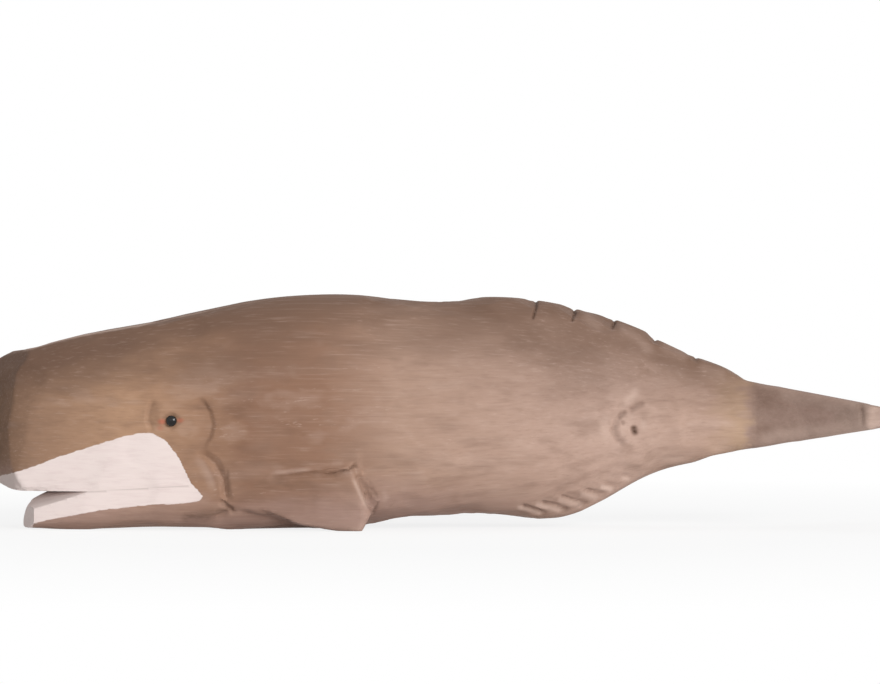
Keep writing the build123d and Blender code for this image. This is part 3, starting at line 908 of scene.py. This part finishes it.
@dataclass
class CarvedPiece:
    """One piece of the figure, sawn from the carved blank."""

    name: str
    nodes: tuple[str, ...]
    saws: tuple[tuple[Line, Trim], ...]
    chops: tuple[tuple[Spot, Spot], ...] = ()
    paint: Optional[Line] = None
    # Facets facing this way get painted shade on their white paint
    paint_shade_facing: Spot = (-1.0, 0.0, 0.0)
    slot: str = "washed_wood"
    eye_corners: tuple[tuple[float, float, float, float], ...] = (
        (-64.4, 25.3, 1.5, 0.75), (-64.8, 23.8, 1.3, 0.35), (-60.2, 25.6, 1.3, 0.6),
    )
    obj: Optional[bpy.types.Object] = field(default=None, repr=False)

    def part(self, blank: Blank) -> None:
        """Saw the piece from a copy of the blank."""
        self.obj = bpy.data.objects.new(self.name, blank.obj.data.copy())
        bpy.context.scene.collection.objects.link(self.obj)
        for outline, trim in self.saws:
            saw(self.obj, outline, trim)
        for spot, facing in self.chops:
            chop(self.obj, spot, facing)

    def mark(self, blank: Blank, near: KDTree) -> None:
        """Keep the numbers that the finish reads at each corner.

        Args:
            blank: The carved blank, for its cuts, heights and edge wear.
            near: The blank's corners, to find each corner's own.
        """
        points = points_of(self.obj)
        shade = np.zeros(len(points))
        pale = np.zeros(len(points))
        for cut in blank.cuts:
            share = cut.share_at(points)
            shade = np.maximum(shade, max(cut.shade, 0) * share)
            pale = np.maximum(pale, max(-cut.shade, 0) * share)
        keep_value(self.obj, "dark", shade)
        crown = points[:, 2] - np.interp(points[:, 0], blank.steps, blank.top)
        rim = np.abs(points[:, 1]) - np.interp(points[:, 0], blank.steps, blank.rim)
        # A pale strip along the head's top rim: partly wear, partly a painted highlight of light glancing along the
        # flat top
        rim_sheen_and_wear = smooth_step(-0.9, -0.5, crown) * smooth_step(-3.0, -1.2, rim) * smooth_step(-36, -60, points[:, 0])
        keep_value(self.obj, "pale", np.maximum(pale, 0.6 * rim_sheen_and_wear))
        keep_value(self.obj, "height", blank.height_share(points))
        keep_value(self.obj, "edge", np.array([blank.edges[near.find(point)[1]] for point in points]))
        inside = inside_by(self.paint, points[:, [0, 2]]) if self.paint else np.full(len(points), -9.0)
        keep_value(self.obj, "paint", np.clip(inside, -9, 9))
        red = np.zeros(len(points))
        for x, z, size, strength in self.eye_corners:
            away = np.hypot(points[:, 0] - x, (points[:, 2] - z) * 1.6)
            red = np.maximum(red, strength * (1 - smooth_step(0.2 * size, size, away)))
        keep_value(self.obj, "red", red)
        # Painted shade on the white paint, by the way each facet faces
        keep_value(self.obj, "painted_shade_on_paint", 0.6 * smooth_step(0.28, 0.55, normals_of(self.obj) @ np.array(self.paint_shade_facing)))

    def dress(self, material: bpy.types.Material) -> None:
        """Give the piece its finish and its place in the frame."""
        self.obj.data.materials.clear()
        self.obj.data.materials.append(material)
        select_only(self.obj)
        bpy.ops.object.shade_smooth_by_angle(angle=math.radians(38))
        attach(self.obj, "root")
        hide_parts(*self.nodes)
        log.info("%s: %d faces", self.name, len(self.obj.data.polygons))


@dataclass
class Figure:
    """All the wooden pieces of the figure."""

    blank: Blank = field(default_factory=Blank)
    pieces: tuple[CarvedPiece, ...] = field(
        default_factory=lambda: (
            CarvedPiece(
                "carved_body",
                ("body", "lip_paint", "wood_knot"),
                ((MOUTH_SAW, Trim.OUTSIDE), (FLUKE_SAW, Trim.OUTSIDE)),
                paint=MOUTH_PAINT,
            ),
            CarvedPiece(
                "carved_jaw",
                ("lower_jaw", "jaw_paint"),
                ((JAW_SAW, Trim.INSIDE),),
                JAW_CHOPS,
                MOUTH_PAINT,
                # On the jaw, the painted shade falls on the paint of the up-facing bevels
                (0.0, 0.0, 1.0),
            ),
            CarvedPiece("carved_fluke", ("tail_fluke",), ((FLUKE_SAW, Trim.INSIDE),)),
        )
    )

    def build(self, material: bpy.types.Material) -> None:
        """Carve the blank, part the pieces from it and finish each."""
        self.blank.block_out()
        self.blank.carve()
        corners = self.blank.obj.data.vertices
        near = KDTree(len(corners))
        for number, corner in enumerate(corners):
            near.insert(corner.co / MM, number)
        near.balance()
        for piece in self.pieces:
            piece.part(self.blank)
            piece.mark(self.blank, near)
            piece.dress(material)
        bpy.data.objects.remove(self.blank.obj)


@dataclass
class BeadEyes:
    """Two domed beads."""

    nodes: tuple[str, str] = ("left_eye", "right_eye")
    grid: float = 0.09

    def build(self, material: bpy.types.Material) -> None:
        """Make each bead from its CAD node with a round, even mesh, and dress it."""
        for node in self.nodes:
            bead = copy_of_nodes(f"{node}_bead", [node])
            apply_modifier(bead, "REMESH", mode="VOXEL", voxel_size=self.grid * MM, use_smooth_shade=True)
            apply_modifier(bead, "SMOOTH", factor=0.5, iterations=4)
            bead.data.materials.clear()
            bead.data.materials.append(material)
            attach(bead, "root")
            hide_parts(node)
            log.info("%s: %d faces", bead.name, len(bead.data.polygons))


@dataclass
class HiddenPegs:
    """Pegs and dowels inside the glued joints, shown as they were turned."""

    nodes: tuple[str, ...] = ("jaw_pegs", "fluke_dowels")

    def dress(self, material: bpy.types.Material) -> None:
        """Give each CAD node its finish."""
        for node in self.nodes:
            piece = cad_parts[node]
            piece.data.materials.clear()
            piece.data.materials.append(material)
            log.info("%s: finish only", node)


@dataclass
class Studio:
    """White floor, soft lamps and a long lens a metre away."""

    target: Spot = (0.0, 0.0, 0.0436)
    distance: float = 1.0
    elevation: float = 0.5
    lens: float = 173.3
    floor_size: float = 6.0
    ambient: float = 0.24

    def seen(self, tree: bpy.types.NodeTree, ways: Sequence[str]) -> bpy.types.NodeSocket:
        """Whether a surface is looked at directly or in a reflection, not lit by.

        Args:
            tree: The node tree.
            ways: Ray kinds that count as looking.

        Returns:
            A socket that is 1 for those rays.
        """
        path = add_node(tree, "ShaderNodeLightPath")
        made = path.outputs[ways[0]]
        for way in ways[1:]:
            links = {0: made, 1: path.outputs[way]}
            made = add_node(tree, "ShaderNodeMath", {"operation": "MAXIMUM"}, links).outputs[0]
        return made

    def floor(self) -> None:
        """A white floor that takes a faint shadow near the figure and is plain white beyond."""
        bpy.ops.object.select_all(action="DESELECT")
        bpy.ops.mesh.primitive_plane_add(size=self.floor_size, location=(0, 0, 0))
        floor = bpy.context.active_object
        floor.name = "studio_floor"
        material = bpy.data.materials.new("white_paper_sweep")
        material.use_nodes = True
        tree = material.node_tree
        tree.nodes.clear()
        place = add_node(tree, "ShaderNodeTexCoord").outputs["Object"]
        away = add_node(tree, "ShaderNodeVectorMath", {"operation": "LENGTH"}, {0: place}).outputs["Value"]
        plain = add_node(tree, "ShaderNodeMapRange", {1: 0.10, 2: 0.28, 3: 0.84, 4: 1.0}, {0: away}).outputs[0]
        seen = self.seen(tree, ("Is Camera Ray", "Is Glossy Ray", "Is Transmission Ray"))
        share = add_node(tree, "ShaderNodeMath", {"operation": "MULTIPLY"}, {0: plain, 1: seen}).outputs[0]
        paper = add_node(tree, "ShaderNodeBsdfDiffuse", {"Color": linear("#f4f4f4")}).outputs[0]
        glow = add_node(tree, "ShaderNodeEmission", {"Color": linear("#ffffff"), "Strength": 1.0}).outputs[0]
        both = add_node(tree, "ShaderNodeMixShader", {}, {0: share, 1: paper, 2: glow})
        add_node(tree, "ShaderNodeOutputMaterial", {}, {"Surface": both.outputs[0]})
        floor.data.materials.append(material)

    def world(self) -> None:
        """Soft grey light from all round, seen as plain white."""
        world = bpy.data.worlds.new("studio_white")
        bpy.context.scene.world = world
        world.use_nodes = True
        tree = world.node_tree
        tree.nodes.clear()
        seen = self.seen(tree, ("Is Camera Ray", "Is Glossy Ray", "Is Transmission Ray"))
        dim = add_node(tree, "ShaderNodeBackground", {"Color": linear("#ffffff"), "Strength": self.ambient})
        white = add_node(tree, "ShaderNodeBackground", {"Color": linear("#ffffff"), "Strength": 1.0})
        both = add_node(tree, "ShaderNodeMixShader", {}, {0: seen, 1: dim.outputs[0], 2: white.outputs[0]})
        add_node(tree, "ShaderNodeOutputWorld", {}, {"Surface": both.outputs[0]})

    def lamp(self, name: str, place: Spot, size: float, power: float, tone: str) -> None:
        """Add one square soft box, aimed at the figure.

        Args:
            name: The lamp's name.
            place: Where it stands, in metres.
            size: Side of the soft box, in metres.
            power: Its power in watts.
            tone: Its colour.
        """
        bpy.ops.object.select_all(action="DESELECT")
        bpy.ops.object.light_add(type="AREA", location=place)
        lamp = bpy.context.active_object
        lamp.name = name
        lamp.data.size = size
        lamp.data.energy = power
        lamp.data.color = linear(tone)[:3]
        aim = Vector((0.0, 0.0, 0.025)) - Vector(place)
        lamp.rotation_euler = aim.to_track_quat("-Z", "Y").to_euler()

    def camera(self) -> None:
        """A long lens, level with the figure's back."""
        up = math.radians(self.elevation)
        back = Vector((0.0, -math.cos(up), math.sin(up)))
        bpy.ops.object.select_all(action="DESELECT")
        bpy.ops.object.camera_add(location=Vector(self.target) + back * self.distance)
        camera = bpy.context.active_object
        camera.name = "studio_camera"
        camera.rotation_euler = (-back).to_track_quat("-Z", "Y").to_euler()
        camera.data.lens = self.lens
        camera.data.sensor_width = 36.0
        camera.data.clip_start, camera.data.clip_end = 0.01, 50.0
        bpy.context.scene.camera = camera

    def set_up(self) -> None:
        """Put the whole studio in place."""
        self.floor()
        self.world()
        self.lamp("key_softbox", (1.20, -1.60, 0.75), 0.90, 40.0, "#ffffff")
        self.lamp("top_softbox", (0.10, 0.25, 1.10), 0.80, 2.5, "#ffffff")
        self.lamp("front_fill", (-0.45, -1.10, 0.35), 0.70, 1.0, "#fbfcff")
        self.camera()
        bpy.context.scene.view_settings.view_transform = "Standard"


def main() -> None:
    """Build the figure piece by piece, then the studio round it."""
    logging.basicConfig(level=logging.INFO, format="%(name)s: %(message)s")
    Figure().build(WashedWood().make())
    BeadEyes().build(BeadGloss().make())
    HiddenPegs().dress(PegBeech().make())
    Studio().set_up()


if __name__ == "__main__":
    main()
